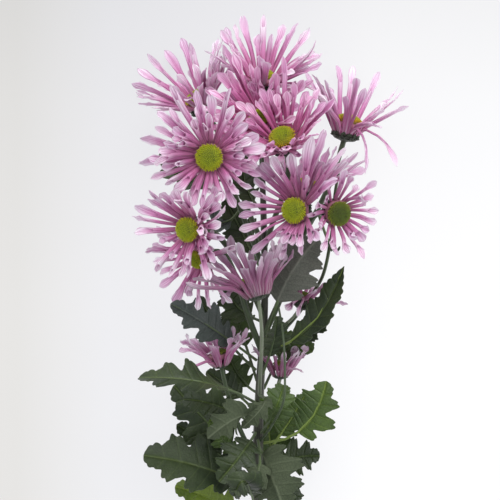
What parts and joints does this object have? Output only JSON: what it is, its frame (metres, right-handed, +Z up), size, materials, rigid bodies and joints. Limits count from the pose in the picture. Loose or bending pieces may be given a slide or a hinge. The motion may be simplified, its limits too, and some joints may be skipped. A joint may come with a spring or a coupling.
{
  "type": "quilled spray chrysanthemum",
  "caption": "Cut flower spray lying on a surface: long stem with lobed leaves that branches to open heads of narrow spoon-tipped ray florets round domed discs.",
  "frame": {"origin": "on the surface the spray lies on, under the middle of its bounding box", "axes": "+Y along the stem from its cut end to the flowers, +Z up from the surface, +X to the right of both"},
  "size_m": [0.1386, 0.3568, 0.098],
  "materials": {
    "petal_pink": "soft satin",
    "disc_green": "matte",
    "leaf_green": "satin",
    "stem_green": "satin"
  },
  "bodies": {
    "root": {"stem": "stem_green", "leaf_01": "leaf_green", "leaf_02": "leaf_green", "leaf_03": "leaf_green", "leaf_04": "leaf_green", "leaf_05": "leaf_green", "leaf_06": "leaf_green", "leaf_07": "leaf_green", "leaf_08": "leaf_green", "leaf_09": "leaf_green", "leaf_10": "leaf_green", "leaf_11": "leaf_green", "leaf_12": "leaf_green", "leaf_13": "leaf_green", "leaf_14": "leaf_green", "leaf_15": "leaf_green", "leaf_16": "leaf_green", "leaf_17": "leaf_green", "leaf_18": "leaf_green", "leaf_19": "leaf_green", "leaf_20": "leaf_green", "leaf_21": "leaf_green", "leaf_22": "leaf_green", "leaf_23": "leaf_green", "leaf_24": "leaf_green", "leaf_25": "leaf_green", "leaf_26": "leaf_green", "leaf_27": "leaf_green", "leaf_28": "leaf_green", "bloom_a_rays": "petal_pink", "bloom_a_disc": "disc_green", "bloom_b_rays": "petal_pink", "bloom_b_disc": "disc_green", "bloom_c_rays": "petal_pink", "bloom_c_disc": "disc_green", "bloom_d_rays": "petal_pink", "bloom_d_disc": "disc_green", "bloom_e_rays": "petal_pink", "bloom_e_disc": "disc_green", "bloom_f_rays": "petal_pink", "bloom_f_disc": "disc_green", "bloom_g_rays": "petal_pink", "bloom_g_disc": "disc_green", "bloom_h_rays": "petal_pink", "bloom_h_disc": "disc_green", "bloom_i_rays": "petal_pink", "bloom_i_disc": "disc_green", "bloom_j_rays": "petal_pink", "bloom_j_disc": "disc_green", "bloom_k_rays": "petal_pink", "bloom_k_disc": "disc_green", "bloom_l_rays": "petal_pink", "bloom_l_disc": "disc_green", "bloom_m_rays": "petal_pink", "bloom_m_disc": "disc_green", "bloom_n_rays": "petal_pink", "bloom_n_disc": "disc_green", "bloom_o_rays": "petal_pink", "bloom_o_disc": "disc_green"}
  },
  "joints": []
}
